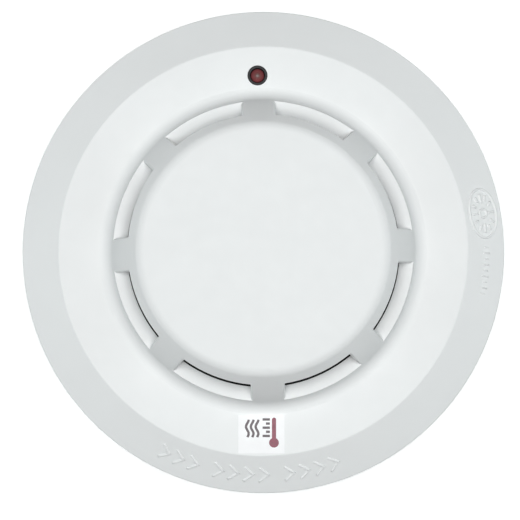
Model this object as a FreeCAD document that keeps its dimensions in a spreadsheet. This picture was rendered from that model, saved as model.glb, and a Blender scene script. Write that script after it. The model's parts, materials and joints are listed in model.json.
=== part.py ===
"""Point heat detector on its twist-lock mounting base.

The detector is modelled lying on its mounting face: the base's back is at z = 0, +Z points out of the
sensing face, and +Y points to the indicator.  Turned over, the same face is screwed to a ceiling.
The base holds four screw terminals whose springs press on four blades under the head.  The head is a
cover, a rear housing and the circuit board between them, and it turns about Z to unhook from the base.
All sizes are in millimetres and all angles in degrees.
"""
import FreeCAD, Part
import Sketcher

import math
import os

from FreeCAD import Placement, Rotation, Vector

DOC = FreeCAD.newDocument("heat_detector")

# ---------------------------------------------------------------------------------------------------
# Driving dimensions
# ---------------------------------------------------------------------------------------------------

DIMENSIONS = [
    # outside of the head
    ("outer_radius", 50.0, "rim of the head and of the base"),
    ("shoulder_radius", 42.33, "top of the sloping skirt, edge of the flat shoulder"),
    ("skirt_slope", 35.5, "skirt, from the face plane"),
    ("sill_radius", 31.0, "cage wall at the sills of its windows"),
    ("cage_slope", 66.0, "cage wall, from the face plane"),
    ("wall", 2.3, "thickness of the cover"),
    ("base_height", 14.0, "base, from the mounting face to its rim"),
    ("seam_gap", 0.6, "shadow gap between the base's rim and the head's"),
    ("rim_height", 10.5, "upright part of the head, below the skirt"),
    ("sill_height", 2.2, "sills above the shoulder"),
    ("window_height", 7.2, "window, from its sill to its lintel"),
    ("face_rise", 4.6, "round face above the lintels"),
    ("window_count", 8, "windows round the cage"),
    ("bar_width", 7.0, "bars between the windows"),
    ("face_fillet", 2.0, "edge of the round face"),
    ("cove_fillet", 2.8, "cove between shoulder and cage wall"),
    ("edge_fillet", 0.5, "outside corners"),
    ("bar_chamfer", 0.3, "outside corners of the bars"),
    ("lip_radius", 28.1, "lip inside the sills, which narrows the gap round the shroud"),
    ("lip_height", 1.5, "lip inside the sills"),
    # indicator
    ("indicator_radius", 36.4, "indicator, from the centre"),
    ("indicator_hole", 2.07, "radius of the indicator's hole"),
    ("led_radius", 1.5, "lens of the indicator"),
    ("led_length", 5.3, "lens of the indicator"),
    ("led_recess", 0.3, "tip of the lens below the shoulder"),
    # label on the shoulder
    ("label_width", 9.5, "label, round the shoulder"),
    ("label_length", 7.9, "label, across the shoulder"),
    ("label_place", 37.8, "middle of the label, from the centre"),
    ("label_offset", -0.4, "middle of the label, beside its own centre line"),
    ("label_film", 0.2, "thickness of the label"),
    ("label_turn", -1.9, "label, stuck on a little askew"),
    # rear housing
    ("plate", 3.0, "rear housing's plate"),
    ("plate_radius", 47.4, "rear housing's plate"),
    ("neck_radius", 40.0, "outside of the neck that enters the base"),
    ("neck_wall", 2.4, "wall of the neck"),
    ("lug_bottom", 6.4, "lower face of the lugs and of the neck"),
    ("lug_thickness", 2.4, "bayonet lugs"),
    ("lug_radius", 43.5, "tip of the lugs"),
    ("lug_span", 16.0, "lug, as an angle"),
    ("lug_count", 3, "lugs, and hooks in the base"),
    ("lug_angle", 30.0, "first lug"),
    ("seal_radius", 46.9, "sealing ring, middle of its section"),
    ("seal_section", 0.75, "radius of the sealing ring's section"),
    # bayonet hooks in the base
    ("hook_web", 44.0, "inside of the hook's upright"),
    ("hook_lip", 41.0, "inner edge of the hook's lip"),
    ("hook_top", 11.0, "top of the hooks"),
    ("hook_play", 0.2, "lug under the lip"),
    ("hook_reach", 9.0, "end of the lip, as an angle past the lug's middle"),
    ("stop_play", 0.4, "lug from its stop, as an angle"),
    ("stop_span", 2.0, "stops, as an angle"),
    ("root", 0.5, "hooks and seats sunk into the base's walls and floor"),
    ("twist", 20.0, "turn from locked to free"),
    # base
    ("base_foot", 49.4, "base at the mounting face"),
    ("base_wall", 2.2, "base's wall at its rim"),
    ("floor", 2.5, "base's floor"),
    ("cable_radius", 11.0, "cable entry"),
    ("collar_wall", 1.5, "collar round the cable entry"),
    ("collar_height", 5.0, "collar round the cable entry"),
    ("relief_inner", 37.5, "shallow relief in the mounting face"),
    ("relief_outer", 45.6, "shallow relief in the mounting face"),
    ("relief_depth", 0.6, "shallow relief in the mounting face"),
    ("slot_spacing", 60.0, "mounting slots, middle to middle"),
    ("slot_length", 12.0, "mounting slots"),
    ("slot_width", 4.4, "mounting slots"),
    # terminals
    ("terminal_count", 4, "terminals, blades and pillars"),
    ("terminal_angle", 45.0, "first terminal"),
    ("terminal_screw", 31.5, "terminal screws, from the centre"),
    ("terminal_seat", 4.7, "plastic under the terminal plates"),
    ("strip", 0.6, "terminal strip's metal"),
    ("strip_width", 7.0, "terminal strip and blade"),
    ("strip_outer", 35.0, "outer end of the terminal plate"),
    ("riser", 27.0, "outer face of the strip's riser"),
    ("leaf_end", 18.0, "inner end of the spring leaf"),
    ("leaf_play", 0.1, "blade under the spring leaf"),
    ("curl_start", 1.2, "leaf's curled tip, start of the curl from the leaf's end"),
    ("curl_rise", 0.9, "leaf's curled tip, rise above the leaf"),
    ("curl_nose", 0.4, "leaf's curled tip, reach past the leaf's end"),
    ("seat_side", 1.0, "terminal seat, beside the strip"),
    ("seat_end", 0.6, "terminal seat, past the strip's end"),
    ("barrier", 1.2, "insulating walls beside the seats"),
    ("barrier_height", 3.0, "insulating walls above the seats"),
    ("rest_inset", 0.6, "rest under a blade, inside the strip's outline"),
    ("rest_play", 0.3, "rest below the blade"),
    ("riser_room", 1.6, "rest and seat from the strip's riser"),
    ("screw_well", 3.9, "well under a terminal screw"),
    ("screw_well_play", 0.3, "well round a terminal screw's thread"),
    ("washer", 7.0, "square clamp washer"),
    ("washer_thickness", 1.0, "square clamp washer"),
    ("washer_groove", 0.5, "gripping grooves under the washer, width"),
    ("washer_groove_depth", 0.25, "gripping grooves under the washer"),
    ("washer_groove_place", 2.6, "gripping grooves, from the washer's middle"),
    ("screw_radius", 1.7, "terminal screw's thread"),
    ("screw_head", 3.1, "terminal screw's head"),
    ("screw_head_height", 2.0, "terminal screw's head"),
    ("screw_length", 4.8, "terminal screw's thread"),
    # blades under the head
    ("blade", 0.8, "blade's metal"),
    ("blade_bottom", 8.7, "underside of the blade"),
    ("blade_inner", 15.5, "inner end of the blade"),
    ("blade_outer", 24.0, "outer end of the blade"),
    ("foot_outer", 23.0, "outer end of the blade's foot"),
    ("pillar_place", 20.0, "contact pillars, from the centre"),
    ("pillar_radius", 2.6, "contact pillars"),
    ("pillar_height", 3.3, "contact pillars"),
    ("spigot_radius", 1.3, "riveted end of the pillars"),
    ("rivet_radius", 2.1, "rivet head under a blade"),
    ("rivet_height", 0.6, "rivet head under a blade"),
    ("tapping_radius", 1.25, "tapped hole in the top of a pillar"),
    ("tapping_depth", 3.0, "tapped hole in the top of a pillar"),
    # cover screws
    ("boss_place", 44.7, "cover screws and bosses, from the centre"),
    ("boss_radius", 3.2, "bosses in the cover"),
    ("boss_height", 7.5, "bosses in the cover"),
    ("boss_angle", 0.0, "first boss"),
    ("boss_count", 3, "cover screws and bosses"),
    ("boss_hole", 6.0, "depth of the screw hole in a boss"),
    ("cover_screw", 1.2, "cover screw's thread"),
    ("cover_screw_length", 7.5, "cover screw's thread"),
    ("cover_screw_head", 2.6, "cover screw's head"),
    ("cover_screw_head_height", 1.7, "cover screw's head"),
    ("cross_slot", 0.6, "arms of the cross recess in a screw's head"),
    # circuit board and what is on it
    ("board_radius", 40.0, "circuit board"),
    ("board", 1.6, "circuit board"),
    ("board_hole", 1.3, "screw holes in the circuit board"),
    ("board_screw", 1.2, "board screw's thread"),
    ("board_screw_length", 4.2, "board screw's thread"),
    ("board_screw_head", 2.3, "board screw's head"),
    ("board_screw_head_height", 1.6, "board screw's head"),
    ("shroud_radius", 27.5, "shroud over the board"),
    ("shroud_wall", 1.2, "shroud"),
    ("shroud_flange", 31.0, "shroud's flange on the board"),
    ("shroud_drop", 0.5, "top of the shroud below the sills"),
    ("post_radius", 3.0, "thermistor post"),
    ("post_play", 0.2, "shroud round the thermistor post"),
    ("post_bore", 1.5, "bore of the thermistor post"),
    ("post_flange", 4.6, "foot of the thermistor post"),
    ("post_flange_height", 1.0, "foot of the thermistor post"),
    ("post_bevel", 0.8, "bevel round the post's tip"),
    ("post_drop", 0.3, "tip of the post below the bead"),
    ("bead_radius", 1.2, "thermistor bead"),
    ("bead_drop", 3.2, "thermistor bead below the lintels"),
    ("reference_place", 14.0, "reference thermistor, from the centre"),
    ("reference_height", 4.0, "reference thermistor's bead above the board"),
    ("lead", 0.25, "radius of thin leads"),
    ("lead_play", 0.15, "hole round a thin lead"),
    ("lead_tail", 1.2, "leads below the board"),
    ("bead_leads", 0.7, "a bead's leads, from its middle"),
    ("led_leads", 0.8, "the indicator's leads, from its middle"),
    ("spacer_radius", 2.4, "foot of the indicator's holder"),
    ("spacer_recess", 0.35, "top of the indicator's holder below the shoulder"),
    ("chip_place", 14.0, "microcontroller and crystal, from the centre"),
    ("chip_side", 7.0, "microcontroller's package"),
    ("chip_height", 1.4, "microcontroller's package"),
    ("chip_standoff", 0.1, "microcontroller's package above the board"),
    ("chip_span", 9.0, "microcontroller across its legs"),
    ("chip_leg", 0.35, "microcontroller's legs"),
    ("chip_pitch", 0.8, "microcontroller's legs, one to the next"),
    ("crystal_length", 10.0, "crystal's can"),
    ("crystal_width", 3.6, "crystal's can"),
    ("crystal_height", 3.2, "crystal's can"),
    ("crystal_corner", 1.7, "crystal's can, its upright edges"),
    ("crystal_rim", 0.4, "rim at the foot of the crystal's can"),
    ("capacitor_radius", 3.15, "electrolytic capacitor's can"),
    ("capacitor_height", 7.0, "electrolytic capacitor's can"),
    ("capacitor_place", 13.5, "electrolytic capacitors, from the centre"),
    ("capacitor_side", 3.9, "electrolytic capacitors, each side of their middle"),
    ("bung_radius", 2.6, "rubber bung under an electrolytic capacitor"),
    ("bung_height", 0.3, "rubber bung under an electrolytic capacitor"),
    ("chips_radius", 35.5, "small parts round the board, from the centre"),
    ("running_gap", 0.05, "round parts that turn or slide in holes"),
    ("overshoot", 1.0, "how far a cutter reaches past what it cuts"),
]

sheet = DOC.addObject("Spreadsheet::Sheet", "Sizes")
for row, (alias, number, meaning) in enumerate(DIMENSIONS, start=1):
    sheet.set(f"A{row}", meaning)
    sheet.set(f"B{row}", repr(number))
    sheet.setAlias(f"B{row}", alias)
DOC.recompute()


class Size:
    """A number together with the spreadsheet expression that gives it."""

    def __init__(self, number, text):
        self.number = float(number)
        self.text = text

    def _with(self, other, sign, number):
        return Size(number, f"({self.text} {sign} {size(other).text})")

    def __add__(self, other):
        return self._with(other, "+", self.number + size(other).number)

    def __sub__(self, other):
        return self._with(other, "-", self.number - size(other).number)

    def __mul__(self, other):
        return self._with(other, "*", self.number * size(other).number)

    def __truediv__(self, other):
        return self._with(other, "/", self.number / size(other).number)

    def __neg__(self):
        return size(0) - self


def size(value):
    """A Size from a Size, a plain number or the alias of a spreadsheet cell."""
    if isinstance(value, Size):
        return value
    if isinstance(value, str):
        return Size(sheet.get(value), f"Sizes.{value}")
    return Size(value, repr(float(value)))


def sine(angle):
    return Size(math.sin(math.radians(angle.number)), f"sin({angle.text})")


def cosine(angle):
    return Size(math.cos(math.radians(angle.number)), f"cos({angle.text})")


def tangent(angle):
    return Size(math.tan(math.radians(angle.number)), f"tan({angle.text})")


def bind(thing, **properties):
    """Binds properties of an object to sizes; a double underscore stands for the dot in a path."""
    for path, value in properties.items():
        thing.setExpression(path.replace("__", "."), size(value).text)
    return thing


# Levels and radii that several pieces share.
rim_bottom = size("base_height") + "seam_gap"
skirt_bottom = rim_bottom + "rim_height"
shoulder = skirt_bottom + (size("outer_radius") - "shoulder_radius") * tangent(size("skirt_slope"))
sill = shoulder + "sill_height"
lintel = sill + "window_height"
face_top = lintel + "face_rise"
cage_run = size(1) / tangent(size("cage_slope"))
cove_corner = size("sill_radius") + size("sill_height") * cage_run
face_corner = size("sill_radius") - (face_top - sill) * cage_run
plate_top = rim_bottom + "plate"
board_bottom = plate_top + "pillar_height"
board_top = board_bottom + "board"
lip_bottom = size("lug_bottom") + "lug_thickness" + "hook_play"
blade_top = size("blade_bottom") + "blade"
leaf_bottom = blade_top + "leaf_play"
strip_top = size("terminal_seat") + "strip"
cover_inside = size("outer_radius") - "wall"

# ---------------------------------------------------------------------------------------------------
# Modelling helpers
# ---------------------------------------------------------------------------------------------------

NODES = []


def node(thing, label):
    """Names a finished sub-part, which will be written to a file of that name."""
    thing.Label = label
    NODES.append(thing)
    return thing


def new_body(name):
    return DOC.addObject("PartDesign::Body", name)


def origin_feature(body, role):
    return next(o for o in body.Origin.OriginFeatures if o.Role == role)


def new_sketch(body, plane, height=None, turn=None):
    """A sketch on one of the body's origin planes, raised by height and turned about Z."""
    sketch = body.newObject("Sketcher::SketchObject", "Sketch")
    sketch.AttachmentSupport = [(origin_feature(body, plane), "")]
    sketch.MapMode = "FlatFace"
    if height is not None:
        bind(sketch, AttachmentOffset__Base__z=height)
    if turn is not None:
        upright = Vector(0, 0, 1) if plane == "XY_Plane" else Vector(0, 1, 0)
        sketch.AttachmentOffset = Placement(Vector(), Rotation(upright, size(turn).number))
        bind(sketch, AttachmentOffset__Rotation__Angle=turn)
    return sketch


def place_point(sketch, curve, end, x, y):
    """Ties a point of a sketch's curve to coordinates given by sizes."""
    for kind, value in (("DistanceX", size(x)), ("DistanceY", size(y))):
        index = sketch.addConstraint(Sketcher.Constraint(kind, -1, 1, curve, end, value.number))
        sketch.setExpression(f"Constraints[{index}]", value.text)


def draw_outline(sketch, points):
    """A closed outline of straight lines through points given by sizes."""
    points = [(size(x), size(y)) for x, y in points]
    corners = [Vector(x.number, y.number, 0) for x, y in points]
    count = len(points)
    lines = [sketch.addGeometry(Part.LineSegment(corners[i], corners[(i + 1) % count])) for i in range(count)]
    for i, line in enumerate(lines):
        following = lines[(i + 1) % count]
        sketch.addConstraint(Sketcher.Constraint("Coincident", line, 2, following, 1))
    for line, (x, y) in zip(lines, points):
        place_point(sketch, line, 1, x, y)
    return sketch


def draw_circle(sketch, radius, x=0, y=0):
    radius, x, y = size(radius), size(x), size(y)
    circle = sketch.addGeometry(Part.Circle(Vector(x.number, y.number, 0), Vector(0, 0, 1), radius.number))
    index = sketch.addConstraint(Sketcher.Constraint("Radius", circle, radius.number))
    sketch.setExpression(f"Constraints[{index}]", radius.text)
    place_point(sketch, circle, 3, x, y)
    return sketch


def rectangle(x0, y0, x1, y1):
    return [(x0, y0), (x1, y0), (x1, y1), (x0, y1)]


def revolve(body, sketch, span=None, cut=False):
    """Turns a sketch of radius and height about Z: all round, or through span centred on its plane."""
    feature = body.newObject("PartDesign::Groove" if cut else "PartDesign::Revolution", "Turned")
    feature.Profile = sketch
    feature.ReferenceAxis = (sketch, ["V_Axis"])
    if span is None:
        feature.Angle = 360
    else:
        feature.Midplane = True
        bind(feature, Angle=span)
    return feature


def sector(body, inner, outer, bottom, top, middle, span, cut=False):
    """A stretch of a ring of rectangular section, added to the body or cut from it."""
    sketch = draw_outline(new_sketch(body, "XZ_Plane", turn=middle), rectangle(inner, bottom, outer, top))
    return revolve(body, sketch, span, cut)


def pad(body, sketch, length, midplane=False):
    feature = body.newObject("PartDesign::Pad", "Pad")
    feature.Profile = sketch
    feature.Midplane = midplane
    return bind(feature, Length=length)


def pocket(body, sketch, depth):
    """Cuts a sketch downwards, towards -Z."""
    feature = body.newObject("PartDesign::Pocket", "Pocket")
    feature.Profile = sketch
    return bind(feature, Length=depth)


def hole(body, radius, x, y, top, depth, turn=None):
    return pocket(body, draw_circle(new_sketch(body, "XY_Plane", height=top, turn=turn), radius, x, y), depth)


def level_pad(body, x0, y0, x1, y1, bottom, top, turn=None):
    """A rectangular pad that stands between two levels."""
    sketch = draw_outline(new_sketch(body, "XY_Plane", height=bottom, turn=turn), rectangle(x0, y0, x1, y1))
    return pad(body, sketch, size(top) - bottom)


def around(body, features, count):
    """Repeats features evenly about Z."""
    pattern = body.newObject("PartDesign::PolarPattern", "Round")
    pattern.Originals = features
    pattern.Axis = (origin_feature(body, "Z_Axis"), [""])
    pattern.Angle = 360
    bind(pattern, Occurrences=count)
    body.Tip = pattern
    return pattern


def fillet(body, feature, rings, radius):
    """Rounds the circular edges of a feature that lie at the given (radius, height) pairs."""
    DOC.recompute()
    names = []
    for ring_radius, height in rings:
        for number, edge in enumerate(feature.Shape.Edges, start=1):
            if not isinstance(edge.Curve, Part.Circle):
                continue
            off_radius = abs(edge.Curve.Radius - size(ring_radius).number)
            off_height = abs(edge.Curve.Center.z - size(height).number)
            if max(off_radius, off_height) < 1e-3:
                names.append(f"Edge{number}")
    rounding = body.newObject("PartDesign::Fillet", "Rounding")
    rounding.Base = (feature, names)
    return bind(rounding, Radius=radius)


def put(thing, x=0, y=0, z=0, turn=0):
    """Places an object and turns it about the frame's Z axis."""
    x, y, z, turn = size(x), size(y), size(z), size(turn)
    thing.Placement = Placement(Vector(), Rotation(Vector(0, 0, 1), turn.number))
    bind(
        thing,
        Placement__Base__x=x * cosine(turn) - y * sine(turn),
        Placement__Base__y=x * sine(turn) + y * cosine(turn),
        Placement__Base__z=z,
        Placement__Rotation__Angle=turn,
    )
    return thing


def cylinder(radius, height, x=0, y=0, z=0, turn=0):
    thing = DOC.addObject("Part::Cylinder", "Cylinder")
    return put(bind(thing, Radius=radius, Height=height), x, y, z, turn)


def ball(radius, x=0, y=0, z=0, turn=0):
    return put(bind(DOC.addObject("Part::Sphere", "Ball"), Radius=radius), x, y, z, turn)


def block(length, width, height, x=0, y=0, z=0, turn=0):
    """A box centred on x and y, standing on z, then turned about the frame's Z axis."""
    thing = DOC.addObject("Part::Box", "Block")
    bind(thing, Length=length, Width=width, Height=height)
    return put(thing, size(x) - size(length) / 2, size(y) - size(width) / 2, z, turn)


def fuse(*things):
    joined = DOC.addObject("Part::MultiFuse", "Fused")
    joined.Shapes = list(things)
    return joined


def cut(base, *tools):
    result = DOC.addObject("Part::Cut", "Cut")
    result.Base = base
    result.Tool = tools[0] if len(tools) == 1 else fuse(*tools)
    return result


def turns_of(first, count):
    """Angles of a number of things spaced evenly round the centre."""
    step = size(360) / count
    return [size(first) + step * number for number in range(int(size(count).number))]


def group(*things):
    together = DOC.addObject("Part::Compound", "Group")
    together.Links = list(things)
    return together


RECESS_SHARE = 0.6  # of the head's radius and height


def screw(thread, length, head, head_height, x=0, y=0, z=0, turn=0, downwards=False):
    """A pan-head screw with a cross recess; z is the underside of its head, on the thread's side."""
    z, head_height = size(z), size(head_height)
    arm, depth = size(head) * RECESS_SHARE * 2, head_height * RECESS_SHARE
    if downwards:
        low, head_low, recess_low = z, z - head_height, z - head_height - "overshoot"
    else:
        low, head_low, recess_low = z - length, z, z + head_height - depth
    solid = fuse(cylinder(thread, length, x, y, low, turn), cylinder(head, head_height, x, y, head_low, turn))
    recess = depth + "overshoot"
    across = block("cross_slot", arm, recess, x, y, recess_low, turn)
    along = block(arm, "cross_slot", recess, x, y, recess_low, turn)
    return cut(solid, across, along)


# ---------------------------------------------------------------------------------------------------
# Mounting base
# ---------------------------------------------------------------------------------------------------


def make_base_housing():
    body = new_body("BaseHousing")
    inside = size("outer_radius") - "base_wall"
    collar = size("cable_radius") + "collar_wall"
    collar_top = size("floor") + "collar_height"
    section = [
        ("cable_radius", 0),
        ("relief_inner", 0),
        ("relief_inner", "relief_depth"),
        ("relief_outer", "relief_depth"),
        ("relief_outer", 0),
        ("base_foot", 0),
        ("outer_radius", "base_height"),
        (inside, "base_height"),
        (inside, "floor"),
        (collar, "floor"),
        (collar, collar_top),
        ("cable_radius", collar_top),
    ]
    revolve(body, draw_outline(new_sketch(body, "XZ_Plane"), section))

    # Mounting slots, each a straight middle with two round ends.
    middle, half = size("slot_spacing") / 2, size("slot_width") / 2
    reach = (size("slot_length") - "slot_width") / 2
    straight = rectangle(middle - reach, -half, middle + reach, half)
    slot = [pocket(body, draw_outline(new_sketch(body, "XY_Plane", height="floor"), straight), "floor")]
    slot += [hole(body, half, middle + way, 0, "floor", "floor") for way in (-reach, reach)]
    around(body, slot, 2)

    # Bayonet hooks: a lip on an upright, a stop at each end of the lug's travel, and the opening in the
    # floor that the mould's core leaves under the lip.
    half_lug = size("lug_span") / 2
    start = size("lug_angle") - half_lug - "stop_play"
    finish = size("lug_angle") + "hook_reach"
    free_stop = size("lug_angle") + half_lug + "twist" + "stop_play"
    outside = inside + "root"
    low = size("floor") - "root"
    whole_middle, whole_span = (start - "stop_span" + finish) / 2, finish - start + "stop_span"
    below = -size("overshoot")
    hooks = [
        sector(body, "hook_web", outside, low, "hook_top", whole_middle, whole_span),
        sector(body, "hook_lip", outside, lip_bottom, "hook_top", whole_middle, whole_span),
        sector(body, "hook_lip", outside, low, "hook_top", start - size("stop_span") / 2, "stop_span"),
        sector(body, "hook_lip", outside, low, lip_bottom, free_stop + size("stop_span") / 2, "stop_span"),
        sector(body, "hook_lip", "hook_web", below, "floor", (start + finish) / 2, finish - start, cut=True),
    ]
    around(body, hooks, "lug_count")

    # Terminal seats between insulating walls, the rest under each blade and the screw's clearance hole.
    terminal = size("terminal_angle")
    seat_side = size("strip_width") / 2 + "seat_side"
    wall_side, wall_top = seat_side + "barrier", size("terminal_seat") + "barrier_height"
    seat_in, seat_end = size("riser") - "strip" - "riser_room", size("strip_outer") + "seat_end"
    rest_in, rest_side = size("leaf_end") - "rest_inset", size("strip_width") / 2 - "rest_inset"
    rest_top = size("blade_bottom") - "rest_play"
    well = size("screw_radius") + "screw_well_play"
    seats = [
        level_pad(body, seat_in, -seat_side, seat_end, seat_side, low, "terminal_seat", terminal),
        level_pad(body, seat_in, seat_side, seat_end, wall_side, low, wall_top, terminal),
        level_pad(body, seat_in, -wall_side, seat_end, -seat_side, low, wall_top, terminal),
        level_pad(body, rest_in, -rest_side, seat_in, rest_side, low, rest_top, terminal),
        hole(body, well, "terminal_screw", 0, "terminal_seat", "screw_well", terminal),
    ]
    around(body, seats, "terminal_count")
    return node(body, "base_housing")


def make_base_contact(turn, label):
    """A strip bent up from its terminal plate into a leaf that presses on a blade."""
    body = new_body("BaseContact")
    inner_riser = size("riser") - "strip"
    leaf_top = leaf_bottom + "strip"
    section = [
        (inner_riser, "terminal_seat"),
        ("strip_outer", "terminal_seat"),
        ("strip_outer", strip_top),
        ("riser", strip_top),
        ("riser", leaf_top),
        (size("leaf_end") + "curl_start", leaf_top),
        ("leaf_end", leaf_top + "curl_rise"),
        (size("leaf_end") - "curl_nose", leaf_top + size("curl_rise") / 2),
        (size("leaf_end") + size("curl_start") * 0.75, leaf_bottom),
        (inner_riser, leaf_bottom),
    ]
    pad(body, draw_outline(new_sketch(body, "XZ_Plane"), section), "strip_width", midplane=True)
    hole(body, size("screw_radius") + "running_gap", "terminal_screw", 0, strip_top, "strip")
    put(body, turn=turn)
    return node(body, label)


def make_clamp_washer(turn, label):
    low = strip_top + "running_gap"
    plate = block("washer", "washer", "washer_thickness", "terminal_screw", 0, low, turn)
    bore_height = size("washer_thickness") + size("overshoot") * 2
    bore_radius = size("screw_radius") + "running_gap"
    bore = cylinder(bore_radius, bore_height, "terminal_screw", 0, low - "overshoot", turn)
    groove = ("washer_groove", size("washer") + "overshoot", size("washer_groove_depth") * 2)
    grooves = []
    for way in (-size("washer_groove_place"), size("washer_groove_place")):
        grooves.append(block(*groove, size("terminal_screw") + way, 0, low - "washer_groove_depth", turn))
    return node(cut(plate, bore, *grooves), label)


def make_terminal_screw(turn, label):
    seat = strip_top + "washer_thickness" + size("running_gap") * 2
    sizes = ("screw_radius", "screw_length", "screw_head", "screw_head_height")
    return node(screw(*sizes, "terminal_screw", 0, seat, turn), label)


# ---------------------------------------------------------------------------------------------------
# Head: cover and rear housing
# ---------------------------------------------------------------------------------------------------


def soften_bars(body, cage):
    """Chamfers the outer corners of the bars: the edges half-way up the windows, in the outside wall."""
    DOC.recompute()
    level = ((sill + lintel) / 2).number
    wall_radius = (size("sill_radius") - (lintel - sill) / 2 * cage_run).number
    names = []
    for number, edge in enumerate(cage.Shape.Edges, start=1):
        middle = edge.CenterOfMass
        if abs(middle.z - level) < 0.3 and abs(math.hypot(middle.x, middle.y) - wall_radius) < 0.3:
            names.append(f"Edge{number}")
    chamfer = body.newObject("PartDesign::Chamfer", "BarChamfer")
    chamfer.Base = (cage, names)
    return bind(chamfer, Size="bar_chamfer")


def make_front_cover():
    body = new_body("FrontCover")
    section = [
        (0, rim_bottom),
        ("outer_radius", rim_bottom),
        ("outer_radius", skirt_bottom),
        ("shoulder_radius", shoulder),
        (cove_corner, shoulder),
        (face_corner, face_top),
        (0, face_top),
    ]
    solid = revolve(body, draw_outline(new_sketch(body, "XZ_Plane"), section))
    solid = fillet(body, solid, [(cove_corner, shoulder)], "cove_fillet")
    DOC.recompute()
    faces = enumerate(solid.Shape.Faces, start=1)
    underside = [f"Face{number}" for number, face in faces if face.CenterOfMass.z < rim_bottom.number + 1e-3]
    shell = body.newObject("PartDesign::Thickness", "Shell")
    shell.Base = (solid, underside)
    shell.Reversed = True
    bind(shell, Value="wall")
    shell = fillet(body, shell, [(face_corner, face_top)], "face_fillet")
    rims = [("shoulder_radius", shoulder), ("outer_radius", skirt_bottom), ("outer_radius", rim_bottom)]
    fillet(body, shell, rims, "edge_fillet")

    # The lip is rooted in the cage wall.
    lip_root = size("sill_radius") - size("wall") / 2
    lip = [
        ("lip_radius", sill - "lip_height"),
        (lip_root, sill - "lip_height"),
        (lip_root, sill),
        ("lip_radius", sill),
    ]
    revolve(body, draw_outline(new_sketch(body, "XZ_Plane"), lip))

    # A window reaches from the side of one bar to the side of the next, from the sill to the lintel.
    step = size(360) / "window_count"
    side, inner, outer = size("bar_width") / 2, size("pillar_place"), size("outer_radius")
    corners = [(inner, side), (outer, side)]
    for x in (outer, inner):
        corners.append((x * cosine(step) + side * sine(step), x * sine(step) - side * cosine(step)))
    opening = draw_outline(new_sketch(body, "XY_Plane", height=lintel), corners)
    caged = around(body, [pocket(body, opening, "window_height")], "window_count")
    soften_bars(body, caged)

    through = size("wall") + size("overshoot") * 2
    hole(body, "indicator_hole", 0, "indicator_radius", shoulder + "overshoot", through)

    # Bosses for the cover screws, merged with the wall, each with a blind hole.
    post = draw_circle(new_sketch(body, "XY_Plane", plate_top, "boss_angle"), "boss_radius", "boss_place")
    bore, bore_top = size("cover_screw") + "running_gap", plate_top + "boss_hole"
    posts = [
        pad(body, post, "boss_height"),
        hole(body, bore, "boss_place", 0, bore_top, "boss_hole", "boss_angle"),
    ]
    around(body, posts, "boss_count")
    return node(body, "front_cover")


def make_rear_housing():
    body = new_body("RearHousing")
    inside = size("neck_radius") - "neck_wall"
    groove_floor = size("seal_radius") - "seal_section" - "running_gap"
    middle = (rim_bottom + plate_top) / 2
    half = size("seal_section") + "running_gap"
    section = [
        (0, rim_bottom),
        (inside, rim_bottom),
        (inside, "lug_bottom"),
        ("neck_radius", "lug_bottom"),
        ("neck_radius", rim_bottom),
        ("plate_radius", rim_bottom),
        ("plate_radius", middle - half),
        (groove_floor, middle - half),
        (groove_floor, middle + half),
        ("plate_radius", middle + half),
        ("plate_radius", plate_top),
        (0, plate_top),
    ]
    revolve(body, draw_outline(new_sketch(body, "XZ_Plane"), section))
    lug_top = size("lug_bottom") + "lug_thickness"
    lug_root = size("neck_radius") - "root"
    lug = sector(body, lug_root, "lug_radius", "lug_bottom", lug_top, "lug_angle", "lug_span")
    around(body, [lug], "lug_count")
    bore = size("cover_screw") + "running_gap"
    around(body, [hole(body, bore, "boss_place", 0, plate_top, "plate", "boss_angle")], "boss_count")
    spigot = size("spigot_radius") + "running_gap"
    pillars = [hole(body, spigot, "pillar_place", 0, plate_top, "plate", "terminal_angle")]
    around(body, pillars, "terminal_count")
    return node(body, "rear_housing")


def make_seal_ring():
    ring = bind(DOC.addObject("Part::Torus", "SealRing"), Radius1="seal_radius", Radius2="seal_section")
    return node(put(ring, z=(rim_bottom + plate_top) / 2), "seal_ring")


def make_cover_screws():
    sizes = ("cover_screw", "cover_screw_length", "cover_screw_head", "cover_screw_head_height")
    turns = turns_of("boss_angle", "boss_count")
    screws = [screw(*sizes, "boss_place", 0, rim_bottom, turn, downwards=True) for turn in turns]
    return node(group(*screws), "cover_screws")


def make_contact_blade(turn, label):
    """A strip folded into a C: its foot is riveted under the plate, its tab slides under a leaf."""
    body = new_body("ContactBlade")
    foot_bottom = rim_bottom - "blade"
    stem = size("blade_inner") + "blade"
    section = [
        ("blade_inner", "blade_bottom"),
        ("blade_outer", "blade_bottom"),
        ("blade_outer", blade_top),
        (stem, blade_top),
        (stem, foot_bottom),
        ("foot_outer", foot_bottom),
        ("foot_outer", rim_bottom),
        ("blade_inner", rim_bottom),
    ]
    pad(body, draw_outline(new_sketch(body, "XZ_Plane"), section), "strip_width", midplane=True)
    hole(body, size("spigot_radius") + "running_gap", "pillar_place", 0, rim_bottom, "blade")
    put(body, turn=turn)
    return node(body, label)


def make_contact_pillars(turns):
    """Brass pillars riveted through the rear housing and the blades, tapped for the board's screws."""
    pillars = []
    for turn in turns:
        column = cylinder("pillar_radius", "pillar_height", "pillar_place", 0, plate_top, turn)
        foot_low = rim_bottom - "blade"
        spigot = cylinder("spigot_radius", size("plate") + "blade", "pillar_place", 0, foot_low, turn)
        rivet_low = foot_low - "rivet_height"
        rivet = cylinder("rivet_radius", "rivet_height", "pillar_place", 0, rivet_low, turn)
        tapping_low, tapping = board_bottom - "tapping_depth", size("tapping_depth") + "overshoot"
        thread = cylinder("tapping_radius", tapping, "pillar_place", 0, tapping_low, turn)
        pillars.append(cut(fuse(column, spigot, rivet), thread))
    return node(group(*pillars), "contact_pillars")


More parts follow.
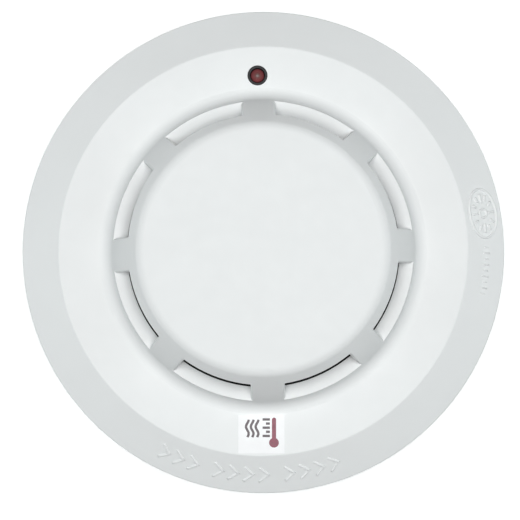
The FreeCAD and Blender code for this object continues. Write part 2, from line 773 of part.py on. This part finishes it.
def make_front_label(cover):
    """A film on the shoulder whose inner edge climbs on to the start of the cove."""
    place = (size("label_offset"), -size("label_place"))
    film = block("label_width", "label_length", "label_film", *place, shoulder, "label_turn")
    return node(cut(film, cover), "front_label")


# ---------------------------------------------------------------------------------------------------
# Circuit board, indicator and sensor
# ---------------------------------------------------------------------------------------------------

lead_hole = size("lead") + "lead_play"
lead_low = board_bottom - "lead_tail"


def lead_pair(x, y, offset):
    """Places of two leads, one each side of a middle."""
    return [(size(x) - offset, size(y)), (size(x) + offset, size(y))]


sensor_leads = lead_pair(0, 0, "bead_leads")
reference_leads = lead_pair("reference_place", 0, "bead_leads")
indicator_leads = lead_pair(0, "indicator_radius", "led_leads")


def make_circuit_board(turns):
    board = cylinder("board_radius", "board", z=board_bottom)
    low, through = board_bottom - "overshoot", size("board") + size("overshoot") * 2
    holes = [cylinder("board_hole", through, "pillar_place", 0, low, turn) for turn in turns]
    for x, y in sensor_leads + reference_leads + indicator_leads:
        holes.append(cylinder(lead_hole, through, x, y, low))
    return node(cut(board, *holes), "circuit_board")


def make_board_screws(turns):
    sizes = ("board_screw", "board_screw_length", "board_screw_head", "board_screw_head_height")
    screws = [screw(*sizes, "pillar_place", 0, board_top, turn) for turn in turns]
    return node(group(*screws), "board_screws")


def make_sensor_shroud():
    """A black cap over the middle of the board, which closes the inside off below the windows."""
    body = new_body("SensorShroud")
    top = sill - "shroud_drop"
    inside = size("shroud_radius") - "shroud_wall"
    bore = size("post_radius") + "post_play"
    section = [
        (inside, board_top),
        ("shroud_flange", board_top),
        ("shroud_flange", board_top + "shroud_wall"),
        ("shroud_radius", board_top + "shroud_wall"),
        ("shroud_radius", top),
        (bore, top),
        (bore, top - "shroud_wall"),
        (inside, top - "shroud_wall"),
    ]
    revolve(body, draw_outline(new_sketch(body, "XZ_Plane"), section))
    return node(body, "sensor_shroud")


bead_height = lintel - "bead_drop"
led_bottom = shoulder - "led_recess" - "led_length"


def make_thermistor_post():
    body = new_body("ThermistorPost")
    top = bead_height - "bead_radius" - "post_drop"
    section = [
        ("post_bore", board_top),
        ("post_flange", board_top),
        ("post_flange", board_top + "post_flange_height"),
        ("post_radius", board_top + "post_flange_height"),
        ("post_radius", top - "post_bevel"),
        (size("post_radius") - "post_bevel", top),
        ("post_bore", top),
    ]
    revolve(body, draw_outline(new_sketch(body, "XZ_Plane"), section))
    return node(body, "thermistor_post")


def make_thermistor(place, leads, bead_z, label):
    """A glass bead with a lead at each side, which go down through the board."""
    wires = [cylinder("lead", bead_z - lead_low, x, y, lead_low) for x, y in leads]
    return node(fuse(ball("bead_radius", place, 0, bead_z), *wires), label)


def make_indicator_led():
    """A domed lens with two leads."""
    place = (0, "indicator_radius")
    lens = cylinder("led_radius", size("led_length") - "led_radius", *place, led_bottom)
    dome = ball("led_radius", *place, led_bottom + "led_length" - "led_radius")
    wires = [cylinder("lead", led_bottom - lead_low, x, y, lead_low) for x, y in indicator_leads]
    return node(fuse(lens, dome, *wires), "indicator_led")


def make_led_spacer():
    """A holder that carries the indicator and ends in a sleeve, which fills the hole round its lens."""
    place = (0, "indicator_radius")
    under_cover = shoulder - "wall" - "running_gap"
    foot = cylinder("spacer_radius", under_cover - board_top, *place, board_top)
    sleeve_height = shoulder - "spacer_recess" - board_top
    sleeve = cylinder(size("indicator_hole") - "running_gap", sleeve_height, *place, board_top)
    seat = cylinder(size("led_radius") + "running_gap", "led_length", *place, led_bottom)
    bore, low = led_bottom - board_top + size("overshoot") * 2, board_top - "overshoot"
    bores = [cylinder(lead_hole, bore, x, y, low) for x, y in indicator_leads]
    return node(cut(fuse(foot, sleeve), seat, *bores), "led_spacer")


def make_microcontroller():
    """A square package with legs along its four sides."""
    middle = -size("chip_place")
    package = block("chip_side", "chip_side", "chip_height", 0, middle, board_top + "chip_standoff")
    legs = []
    for step in range(-3, 4):
        along = size("chip_pitch") * step
        legs.append(block("chip_span", "chip_leg", "chip_leg", 0, middle + along, board_top))
        legs.append(block("chip_leg", "chip_span", "chip_leg", along, middle, board_top))
    return node(fuse(package, *legs), "microcontroller")


def make_crystal():
    rim = size("crystal_rim")
    can = block("crystal_length", "crystal_width", "crystal_height", 0, "chip_place", board_top + rim)
    rounded = DOC.addObject("Part::Fillet", "Rounded")
    rounded.Base = can
    DOC.recompute()
    edges = enumerate(can.Shape.Edges, start=1)
    upright = [number for number, edge in edges if abs(edge.tangentAt(edge.FirstParameter).z) > 0.9]
    corner = size("crystal_corner").number
    rounded.Edges = [(number, corner, corner) for number in upright]
    length, width = size("crystal_length") + rim * 2, size("crystal_width") + rim * 2
    foot = block(length, width, rim, 0, "chip_place", board_top)
    return node(fuse(rounded, foot), "crystal")


def make_electrolytic_capacitors():
    cans = []
    x = -size("capacitor_place")
    for y in (-size("capacitor_side"), size("capacitor_side")):
        can = cylinder("capacitor_radius", "capacitor_height", x, y, board_top + "bung_height")
        bung = cylinder("bung_radius", "bung_height", x, y, board_top)
        cans.append(fuse(can, bung))
    return node(group(*cans), "electrolytic_capacitors")


def make_chips(sides, turns, label):
    """Surface-mounted parts set round the board, as separate solids in one node."""
    chips = [block(*sides, "chips_radius", 0, board_top, turn) for turn in turns]
    return node(group(*chips), label)


# ---------------------------------------------------------------------------------------------------
# Assembly
# ---------------------------------------------------------------------------------------------------

turns = turns_of("terminal_angle", "terminal_count")

make_base_housing()
for number, turn in enumerate(turns, start=1):
    make_base_contact(turn, f"base_contact_{number}")
    make_clamp_washer(turn, f"clamp_washer_{number}")
    make_terminal_screw(turn, f"terminal_screw_{number}")
    make_contact_blade(turn, f"contact_blade_{number}")
front_cover = make_front_cover()
make_rear_housing()
make_seal_ring()
make_cover_screws()
make_contact_pillars(turns)
make_front_label(front_cover)
make_circuit_board(turns)
make_board_screws(turns)
make_sensor_shroud()
make_thermistor_post()
make_thermistor(0, sensor_leads, bead_height, "sensing_thermistor")
make_thermistor("reference_place", reference_leads, board_top + "reference_height", "reference_thermistor")
make_indicator_led()
make_led_spacer()
make_microcontroller()
make_crystal()
make_electrolytic_capacitors()
make_chips((1.6, 3.2, 0.6), range(110, 251, 10), "chip_resistors")
make_chips((1.3, 2.0, 1.1), range(-20, 71, 15), "chip_capacitors")
make_chips((2.6, 4.6, 2.2), range(285, 331, 15), "bridge_diodes")

DOC.recompute()

failed = [thing.Name for thing in DOC.Objects if {"Invalid", "Error"} & set(thing.State)]
failed += [thing.Label for thing in NODES if thing.Shape.isNull() or not thing.Shape.isValid()]
if failed:
    raise RuntimeError(f"these objects failed: {failed}")

os.makedirs("parts", exist_ok=True)
for thing in NODES:
    thing.Shape.exportStep(f"parts/{thing.Label}.step")
    print(f"{thing.Label:26} {len(thing.Shape.Solids)} solids {thing.Shape.Volume:10.1f} mm3")
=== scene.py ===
"""Point heat detector lying on its mounting face: materials, moulded marks, label, light and camera."""

import json
import math

import bmesh
import bpy
from mathutils import Matrix, Vector


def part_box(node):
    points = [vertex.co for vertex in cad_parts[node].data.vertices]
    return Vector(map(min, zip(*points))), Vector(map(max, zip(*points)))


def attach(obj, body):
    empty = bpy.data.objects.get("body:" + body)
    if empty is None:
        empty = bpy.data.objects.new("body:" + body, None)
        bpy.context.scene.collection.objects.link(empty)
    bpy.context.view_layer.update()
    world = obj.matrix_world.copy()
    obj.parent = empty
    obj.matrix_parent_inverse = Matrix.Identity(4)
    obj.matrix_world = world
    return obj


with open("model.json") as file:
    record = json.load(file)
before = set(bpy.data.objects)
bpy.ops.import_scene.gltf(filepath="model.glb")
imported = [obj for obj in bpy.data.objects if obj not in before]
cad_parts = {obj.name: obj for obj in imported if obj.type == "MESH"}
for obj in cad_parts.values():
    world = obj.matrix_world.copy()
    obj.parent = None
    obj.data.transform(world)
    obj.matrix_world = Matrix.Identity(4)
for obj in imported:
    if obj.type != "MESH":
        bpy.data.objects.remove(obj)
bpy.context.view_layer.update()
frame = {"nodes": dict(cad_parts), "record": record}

MM = 0.001

# ---------------------------------------------------------------------------------------------------
# Places and sizes of the head
# ---------------------------------------------------------------------------------------------------

_, cover_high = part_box("front_cover")
label_low, label_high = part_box("front_label")
outer_radius = cover_high.x
shoulder_height = label_low.z

# what the frame's boxes don't show
shoulder_radius = 42.33 * MM
skirt_slope = math.radians(35.5)
indicator_radius = 36.4 * MM
label_turn = math.radians(-1.9)


def skirt_height(radius):
    """Height of the skirt's surface at a distance from the axis."""
    return shoulder_height - (radius - shoulder_radius) * math.tan(skirt_slope)


# ---------------------------------------------------------------------------------------------------
# Materials
# ---------------------------------------------------------------------------------------------------

# most values of a noise lie between these two
NOISE_LOW, NOISE_HIGH = 0.3, 0.7

# the stretch that leaves a noise as it is
EVEN = (1, 1, 1)


class Material:
    """A procedural material: one Principled shader fed by noises in the frame's own coordinates."""

    def __init__(self, name, **sockets):
        self.material = bpy.data.materials.new(name)
        self.material.use_nodes = True
        self.nodes = self.material.node_tree.nodes
        self.links = self.material.node_tree.links
        self.shader = self.nodes["Principled BSDF"]
        self.place = self.nodes.new("ShaderNodeTexCoord").outputs["Object"]
        self.relief = None
        for socket, value in sockets.items():
            self.shader.inputs[socket.replace("_", " ")].default_value = value

    def noise(self, grain, detail=2.0, stretch=EVEN):
        """Noise whose features are about as large as grain, in metres; stretch draws it out."""
        mapping = self.nodes.new("ShaderNodeMapping")
        mapping.inputs["Scale"].default_value = [1 / (grain * side) for side in stretch]
        self.links.new(self.place, mapping.inputs["Vector"])
        texture = self.nodes.new("ShaderNodeTexNoise")
        texture.inputs["Scale"].default_value = 1.0
        texture.inputs["Detail"].default_value = detail
        self.links.new(mapping.outputs["Vector"], texture.inputs["Vector"])
        return texture.outputs["Fac"]

    def distance(self, middle):
        """Distance from an upright axis through a middle."""
        mapping = self.nodes.new("ShaderNodeMapping")
        mapping.inputs["Location"].default_value = (-middle[0], -middle[1], 0)
        mapping.inputs["Scale"].default_value = (1, 1, 0)
        self.links.new(self.place, mapping.inputs["Vector"])
        length = self.nodes.new("ShaderNodeVectorMath")
        length.operation = "LENGTH"
        self.links.new(mapping.outputs["Vector"], length.inputs[0])
        return length.outputs["Value"]

    def mapped(self, source, start, end, low=0.0, high=1.0):
        """A source stretched, so that start gives low and end gives high."""
        stretch = self.nodes.new("ShaderNodeMapRange")
        for socket, value in (("From Min", start), ("From Max", end), ("To Min", low), ("To Max", high)):
            stretch.inputs[socket].default_value = value
        self.links.new(source, stretch.inputs["Value"])
        return stretch.outputs["Result"]

    def disturbed(self, source, amount, grain):
        """A source with an amount of noise added to it."""
        total = self.nodes.new("ShaderNodeMath")
        total.operation = "MULTIPLY_ADD"
        total.inputs[1].default_value = amount
        self.links.new(self.noise(grain), total.inputs[0])
        self.links.new(source, total.inputs[2])
        return total.outputs["Value"]

    def paint(self, source, stops):
        """Base colour that follows a source; a stop is a value of the source and the colour there."""
        ramp = self.nodes.new("ShaderNodeValToRGB")
        elements = ramp.color_ramp.elements
        for value, _ in stops[len(elements):]:
            elements.new(value)
        for element, (value, colour) in zip(elements, stops):
            element.position = value
            element.color = (*colour, 1)
        self.links.new(source, ramp.inputs["Fac"])
        self.links.new(ramp.outputs["Color"], self.shader.inputs["Base Color"])

    def colour(self, low, high, grain, detail=3.0):
        """Base colour that drifts between two tones."""
        self.paint(self.noise(grain, detail), [(NOISE_LOW, low), (NOISE_HIGH, high)])

    def roughness(self, low, high, grain, stretch=EVEN):
        """Roughness that drifts between two values."""
        drift = self.mapped(self.noise(grain, stretch=stretch), NOISE_LOW, NOISE_HIGH, low, high)
        self.links.new(drift, self.shader.inputs["Roughness"])

    def bump(self, grain, depth, detail=2.0, stretch=EVEN):
        """Relief of the surface; several bumps add up."""
        bump = self.nodes.new("ShaderNodeBump")
        bump.inputs["Strength"].default_value = 1.0
        bump.inputs["Distance"].default_value = depth
        self.links.new(self.noise(grain, detail, stretch), bump.inputs["Height"])
        if self.relief is not None:
            self.links.new(self.relief, bump.inputs["Normal"])
        self.relief = bump.outputs["Normal"]
        self.links.new(self.relief, self.shader.inputs["Normal"])


def tone(colour, factor):
    """A colour made lighter or darker."""
    return [channel * factor for channel in colour]


def moulded_plastic(name, colour, rough, **sockets):
    """Spark-textured plastic: a fine even grain, slow drifts of tone and sheen."""
    material = Material(name, **sockets)
    material.colour(tone(colour, 0.993), tone(colour, 1.007), grain=9 * MM)
    material.roughness(rough - 0.04, rough + 0.05, grain=2.5 * MM)
    material.bump(grain=0.22 * MM, depth=0.004 * MM)
    material.bump(grain=14 * MM, depth=0.004 * MM, detail=1.0)
    return material.material


def rolled_metal(name, colour, rough, along=EVEN):
    """Plated or bare metal with fine rolling or turning marks and a little tarnish."""
    material = Material(name, Metallic=1.0)
    material.colour(tone(colour, 0.82), colour, grain=1.6 * MM)
    material.roughness(rough - 0.07, rough + 0.1, grain=0.5 * MM, stretch=along)
    material.bump(grain=0.12 * MM, depth=0.0005 * MM, stretch=along)
    return material.material


def board_laminate():
    """Solder mask over tracks: darker lanes where there is no copper, and a weave under the gloss."""
    lane = 2.2 * MM
    material = Material("board_laminate", Coat_Weight=0.4, Coat_Roughness=0.12)
    material.colour((0.012, 0.10, 0.035), (0.025, 0.20, 0.075), grain=lane, detail=0.5)
    material.roughness(0.28, 0.42, grain=1.0 * MM)
    material.bump(grain=lane, depth=0.02 * MM, detail=0.5)
    material.bump(grain=0.35 * MM, depth=0.004 * MM, stretch=(6, 1, 1))
    return material.material


def lens_resin():
    """Tinted resin of the indicator: brown over the cup of the diode, redder round it, and a painted shade
    at the rim, where the dome's sides turn away from the light.
    """
    lens_rim = 2.1 * MM
    cup, round_cup = (0.15, 0.095, 0.085), (0.27, 0.095, 0.095)
    # rim is painted shade of the dome's steep sides; cup, round_cup and body are tones of the resin itself
    body, rim = (0.42, 0.12, 0.13), (0.10, 0.04, 0.04)
    material = Material("led_lens", Transmission_Weight=0.15, IOR=1.5)
    share = material.mapped(material.distance((0, indicator_radius)), 0, lens_rim)
    uneven_share = material.disturbed(share, amount=0.25, grain=0.7 * MM)
    material.paint(uneven_share, [(0.20, cup), (0.45, round_cup), (0.75, body), (1.0, rim)])
    material.roughness(0.30, 0.40, grain=0.4 * MM)
    material.bump(grain=0.5 * MM, depth=0.004 * MM)
    return material.material


def bead_glass():
    """Brown glass of a thermistor's bead, with the ripples of a dipped coat."""
    material = Material("bead_glass", Coat_Weight=0.6, Coat_Roughness=0.08)
    material.colour((0.10, 0.03, 0.015), (0.22, 0.08, 0.03), grain=0.7 * MM)
    material.roughness(0.10, 0.22, grain=0.5 * MM)
    material.bump(grain=0.4 * MM, depth=0.01 * MM)
    return material.material


def label_film():
    """White film of the label: nearly even, with a faint coating texture."""
    material = Material("label_film", Specular_IOR_Level=0.3)
    material.colour((0.866, 0.868, 0.874), (0.888, 0.892, 0.898), grain=3 * MM)
    material.roughness(0.45, 0.55, grain=0.8 * MM)
    material.bump(grain=0.15 * MM, depth=0.002 * MM)
    return material.material


def print_ink(name, colour):
    """Printed ink, a little uneven in tone."""
    material = Material(name)
    material.colour(tone(colour, 0.85), tone(colour, 1.15), grain=0.6 * MM)
    material.roughness(0.35, 0.5, grain=0.3 * MM)
    material.bump(grain=0.2 * MM, depth=0.003 * MM)
    return material.material


MATERIALS = {
    "cover_plastic": moulded_plastic("cover_plastic", (0.808, 0.819, 0.818), 0.50, Specular_IOR_Level=0.2),
    "base_plastic": moulded_plastic("base_plastic", (0.785, 0.800, 0.795), 0.46),
    "housing_plastic": moulded_plastic("housing_plastic", (0.770, 0.785, 0.780), 0.48),
    "black_plastic": moulded_plastic("black_plastic", (0.012, 0.013, 0.014), 0.55),
    "spring_metal": rolled_metal("spring_metal", (0.72, 0.69, 0.60), 0.28, along=(1, 1, 8)),
    "plated_steel": rolled_metal("plated_steel", (0.66, 0.67, 0.68), 0.32),
    "brass": rolled_metal("brass", (0.74, 0.56, 0.26), 0.26, along=(5, 5, 1)),
    "rubber": moulded_plastic("rubber", (0.020, 0.020, 0.021), 0.75),
    "board_laminate": board_laminate(),
    "chip_black": moulded_plastic("chip_black", (0.016, 0.016, 0.018), 0.50),
    "chip_ceramic": moulded_plastic("chip_ceramic", (0.50, 0.39, 0.27), 0.55),
    "crystal_metal": rolled_metal("crystal_metal", (0.74, 0.74, 0.72), 0.22),
    "can_sleeve": moulded_plastic("can_sleeve", (0.020, 0.032, 0.085), 0.25, Coat_Weight=0.3),
    "bead_glass": bead_glass(),
    "led_lens": lens_resin(),
    "label_film": label_film(),
}

for part in frame["record"]["subparts"]:
    mesh = frame["nodes"][part["node"]].data
    mesh.materials.clear()
    mesh.materials.append(MATERIALS[part["material_slot"]])

# ---------------------------------------------------------------------------------------------------
# Raised strokes and plates, drawn on a flat sheet
# ---------------------------------------------------------------------------------------------------

# the longest run of a stroke, short enough to follow the round skirt
STROKE_STEP = 0.4 * MM

# a stroke's sides stand upright up to this share of its height, and lean in above it
UPRIGHT_SHARE = 0.35

# the least cosine of half a bend, so that a stroke doesn't run out to a spike where it turns sharply
MITRE_LIMIT = 0.5


def add_piece(name, mesh, material, body):
    """Adds a mesh as a piece of the object, which moves with a body."""
    piece = bpy.data.objects.new(name, mesh)
    bpy.context.scene.collection.objects.link(piece)
    mesh.materials.append(material)
    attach(piece, body)


def mesh_from(sheet, name):
    """The finished mesh of a sheet, which is then given up."""
    mesh = bpy.data.meshes.new(name)
    sheet.to_mesh(mesh)
    sheet.free()
    return mesh


def resample(points, step):
    """Adds points between the given ones, so that no run is longer than step."""
    result = [points[0]]
    for start, end in zip(points, points[1:]):
        parts = max(1, math.ceil((end - start).length / step))
        result += [start.lerp(end, part / parts) for part in range(1, parts + 1)]
    return result


def mitre(before, point, after):
    """The direction across a stroke at a point, and how much wider the stroke is cut where it bends."""
    arriving, leaving = point - before, after - point
    along_in = (arriving if arriving.length else leaving).normalized()
    along_out = leaving.normalized() if leaving.length else along_in
    across = (along_in + along_out).normalized().orthogonal()
    return across, 1 / max(MITRE_LIMIT, across.dot(along_in.orthogonal()))


def closed_strokes(strokes, half_width, height, sunk, soften):
    """Raised strokes as closed solids on a flat sheet. A stroke is a list of (u, v) points; a stroke that
    ends where it starts is a ring. Each cross-section is a low trapezium, narrowed by soften at its top."""
    section = [
        (-half_width, -sunk),
        (-half_width, height * UPRIGHT_SHARE),
        (-half_width + soften, height),
        (half_width - soften, height),
        (half_width, height * UPRIGHT_SHARE),
        (half_width, -sunk),
    ]
    count = len(section)
    sheet = bmesh.new()
    for stroke in strokes:
        ring = stroke[0] == stroke[-1]
        points = resample([Vector(point) for point in stroke], STROKE_STEP)
        if ring:
            points.pop()
        loops = []
        for index, point in enumerate(points):
            before = points[index - 1] if ring or index else point
            after = points[(index + 1) % len(points)] if ring or index + 1 < len(points) else point
            across, spread = mitre(before, point, after)
            loops.append([
                sheet.verts.new((*(point + across * side * spread), rise)) for side, rise in section
            ])
        pairs = list(zip(loops, loops[1:]))
        if ring:
            pairs.append((loops[-1], loops[0]))
        for first, second in pairs:
            for k in range(count):
                sheet.faces.new((first[k], first[(k + 1) % count], second[(k + 1) % count], second[k]))
        if not ring:
            sheet.faces.new(list(reversed(loops[0])))
            sheet.faces.new(loops[-1])
    bmesh.ops.recalc_face_normals(sheet, faces=sheet.faces)
    return sheet


def closed_plate(outline, height, sunk):
    """A flat plate with the given outline, as a closed solid."""
    sheet = bmesh.new()
    low = [sheet.verts.new((u, v, -sunk)) for u, v in outline]
    high = [sheet.verts.new((u, v, height)) for u, v in outline]
    sheet.faces.new(list(reversed(low)))
    sheet.faces.new(high)
    for k in range(len(outline)):
        after = (k + 1) % len(outline)
        sheet.faces.new((low[k], low[after], high[after], high[k]))
    return sheet


def ellipse(half_u, half_v, count):
    """A closed ring of points about the sheet's middle."""
    turns = [2 * math.pi * k / count for k in range(count)]
    points = [(half_u * math.cos(turn), half_v * math.sin(turn)) for turn in turns]
    return points + [points[0]]


def arc(u, v, radius, start, end, count):
    """Points round (u, v) from a start angle to an end angle, in degrees."""
    turns = [math.radians(start + (end - start) * k / count) for k in range(count + 1)]
    return [(u + radius * math.cos(turn), v + radius * math.sin(turn)) for turn in turns]


# ---------------------------------------------------------------------------------------------------
# Moulded marks on the skirt
# ---------------------------------------------------------------------------------------------------

relief_height = 0.26 * MM
relief_sunk = 0.12 * MM


def mould_on_skirt(sheet, name, middle_angle):
    """Adds a flat sheet to the cover, bent on to the skirt: u runs round it from middle_angle, in degrees,
    and v up it from its middle."""
    middle_radius = (outer_radius + shoulder_radius) / 2
    for vert in sheet.verts:
        u, v, rise = vert.co
        radius = middle_radius - v * math.cos(skirt_slope) + rise * math.sin(skirt_slope)
        lift = v * math.sin(skirt_slope) + rise * math.cos(skirt_slope)
        angle = math.radians(middle_angle) + u / middle_radius
        vert.co = (radius * math.cos(angle), radius * math.sin(angle), skirt_height(middle_radius) + lift)
    mesh = mesh_from(sheet, name)
    for polygon in mesh.polygons:
        polygon.use_smooth = True
    add_piece(name, mesh, MATERIALS["cover_plastic"], "head")


def make_dial_mark():
    """An oval frame with a hub and twelve ticks inside, every third one longer, like a mould's date dial."""
    half_u, half_v, hub = 5.1 * MM, 3.4 * MM, 0.9 * MM
    tick_start, long_tick_start, tick_end = 0.55, 0.42, 0.8
    strokes = [ellipse(half_u, half_v, count=48), ellipse(hub, hub, count=20)]
    for k in range(12):
        turn = 2 * math.pi * k / 12
        start = tick_start if k % 3 else long_tick_start
        strokes.append([
            (half_u * share * math.cos(turn), half_v * share * math.sin(turn)) for share in (start, tick_end)
        ])
    sheet = closed_strokes(
        strokes, half_width=0.26 * MM, height=relief_height * 1.2, sunk=relief_sunk, soften=0.12 * MM
    )
    mould_on_skirt(sheet, "dial_mark", middle_angle=8)


def make_tick_row():
    """A short row of ticks beside the dial, short and long in turn."""
    count, pitch = 9, 1.2 * MM
    short_half, long_half = 0.45 * MM, 0.75 * MM
    strokes = []
    for k in range(count):
        u = (k - (count - 1) / 2) * pitch
        half = long_half if k % 2 else short_half
        strokes.append([(u, -half), (u, half)])
    sheet = closed_strokes(
        strokes, half_width=0.17 * MM, height=relief_height * 0.8, sunk=relief_sunk, soften=0.08 * MM
    )
    mould_on_skirt(sheet, "tick_row", middle_angle=-6.8)


def make_turn_marks():
    """Chevrons in three groups, which point the way that the head turns to come off."""
    pitch, half_height, reach = 3.15 * MM, 1.75 * MM, 0.95 * MM
    groups = (3, 4, 4)
    gap = 2.2 * MM
    length = pitch * sum(groups) + gap * (len(groups) - 1)
    strokes = []
    u = -length / 2 + pitch / 2
    for group in groups:
        for _ in range(group):
            strokes.append([(u - reach, -half_height), (u + reach, 0), (u - reach, half_height)])
            u += pitch
        u += gap
    sheet = closed_strokes(
        strokes, half_width=0.26 * MM, height=relief_height, sunk=relief_sunk, soften=0.12 * MM
    )
    mould_on_skirt(sheet, "turn_marks", middle_angle=264.3)


make_dial_mark()
make_tick_row()
make_turn_marks()

# ---------------------------------------------------------------------------------------------------
# Print on the label
# ---------------------------------------------------------------------------------------------------

ink_height = 0.02 * MM
ink_sunk = 0.02 * MM


def print_on_label(sheet, name, ink):
    """Adds a flat sheet, drawn about the label's middle, on top of the label."""
    middle = (label_low + label_high) / 2
    to_label = Matrix.Translation((middle.x, middle.y, label_high.z))
    sheet.transform(to_label @ Matrix.Rotation(label_turn, 4, "Z"))
    add_piece(name, mesh_from(sheet, name), ink, "head")


def make_label_thermometer():
    """A plain thermometer in crimson: a round bulb, and a stem with a round top."""
    u, bulb_height, top_height = 2.6 * MM, -1.75 * MM, 3.0 * MM
    stem, bulb = 0.42 * MM, 1.0 * MM
    neck = math.degrees(math.asin(stem / bulb))
    outline = arc(u, bulb_height, bulb, 90 + neck, 450 - neck, count=40)
    outline += arc(u, top_height, stem, 0, 180, count=12)
    ink = print_ink("ink_crimson", (0.24, 0.05, 0.085))
    print_on_label(closed_plate(outline, ink_height, ink_sunk), "label_thermometer", ink)


def make_label_scale():
    """Grey graduations beside the thermometer, long and short in turn, and three waves of rising warmth."""
    lowest, pitch = -0.35 * MM, 0.85 * MM
    long_start, short_start, end = 0.25 * MM, 0.95 * MM, 1.75 * MM
    wave_low, wave_step, swing = -0.6 * MM, 0.24 * MM, 0.28 * MM
    points_per_wave = 12
    marks = []
    for k in range(5):
        v = lowest + pitch * k
        marks.append([(short_start if k % 2 else long_start, v), (end, v)])
    for u in (-2.9 * MM, -1.9 * MM, -0.9 * MM):
        marks.append([
            (u + swing * math.sin(2 * math.pi * k / points_per_wave), wave_low + wave_step * k)
            for k in range(16)
        ])
    sheet = closed_strokes(
        marks, half_width=0.24 * MM, height=ink_height, sunk=ink_sunk, soften=0.02 * MM
    )
    print_on_label(sheet, "label_scale", print_ink("ink_grey", (0.11, 0.09, 0.10)))


make_label_thermometer()
make_label_scale()

# ---------------------------------------------------------------------------------------------------
# Floor, light and camera
# ---------------------------------------------------------------------------------------------------


def make_floor():
    """A wide pale floor with a soft glow of its own, just under the mounting face."""
    half, gap = 6.0, 0.05 * MM
    corners = [(-half, -half, 0), (half, -half, 0), (half, half, 0), (-half, half, 0)]
    mesh = bpy.data.meshes.new("floor")
    mesh.from_pydata(corners, [], [(0, 1, 2, 3)])
    floor = bpy.data.objects.new("floor", mesh)
    floor.location.z = -gap
    bpy.context.scene.collection.objects.link(floor)
    material = Material("floor", Emission_Color=(1, 1, 1, 1), Emission_Strength=0.32)
    material.colour((0.90, 0.90, 0.90), (0.93, 0.93, 0.93), grain=300 * MM)
    material.roughness(0.6, 0.7, grain=50 * MM)
    mesh.materials.append(material.material)


def make_softbox(name, place, width, power, colour=(1, 1, 1)):
    """A square softbox that faces the detector."""
    data = bpy.data.lights.new(name, "AREA")
    data.color = colour
    data.shape = "SQUARE"
    data.size = width
    data.energy = power
    light = bpy.data.objects.new(name, data)
    light.location = place
    light.rotation_mode = "QUATERNION"
    light.rotation_quaternion = Vector(place).to_track_quat("Z", "Y")
    light.visible_camera = False
    bpy.context.scene.collection.objects.link(light)


def make_light():
    """One large softbox overhead, two weak cool ones at each side, and a faint sky."""
    cool = (0.86, 0.98, 1.0)
    make_softbox("softbox_over", (0, 0, 1.6), width=1.0, power=24.0)
    for name, side in (("left", -1), ("right", 1)):
        make_softbox(f"softbox_{name}", (1.1 * side, 0, 1.1), width=0.8, power=1.9, colour=cool)
        make_softbox(f"softbox_low_{name}", (1.3 * side, 0, 0.25), width=0.35, power=1.5, colour=cool)
    world = bpy.data.worlds.new("studio")
    world.use_nodes = True
    sky = world.node_tree.nodes["Background"]
    sky.inputs["Color"].default_value = (0.97, 0.99, 1.0, 1)
    sky.inputs["Strength"].default_value = 0.01
    bpy.context.scene.world = world
    bpy.context.scene.view_settings.view_transform = "Standard"
    bpy.context.scene.view_settings.gamma = 0.85


def make_camera():
    """Looks almost straight down on the face, from a little towards -Y and with a slight roll. The rim's
    radius fills rim_share of the view's width, and the rim's middle is a little off the view's middle."""
    distance, rim_share = 1.2, 0.46327
    roll, tilt_up, tilt_side = math.radians(1.9), math.radians(1.96), math.radians(0.15)
    left_of_middle, below_middle = 0.702 * MM, 1.636 * MM
    rim_height = skirt_height(outer_radius)
    right = Vector((math.cos(roll), -math.sin(roll), 0))
    up = Vector((math.sin(roll), math.cos(roll), 0))
    back = (right * math.tan(tilt_side) - up * math.tan(tilt_up) + Vector((0, 0, 1))).normalized()
    target = Vector((0, 0, rim_height)) - right * left_of_middle - up * below_middle

    data = bpy.data.cameras.new("camera")
    data.sensor_width = 36
    data.lens = data.sensor_width * rim_share * (distance - rim_height) / outer_radius
    data.clip_start, data.clip_end = 0.05, 20
    camera = bpy.data.objects.new("camera", data)
    side = up.cross(back).normalized()
    top = back.cross(side)
    facing = Matrix((side, top, back)).transposed().to_4x4()
    camera.matrix_world = Matrix.Translation(target + back * (distance - rim_height)) @ facing
    bpy.context.scene.collection.objects.link(camera)
    bpy.context.scene.camera = camera


make_floor()
make_light()
make_camera()
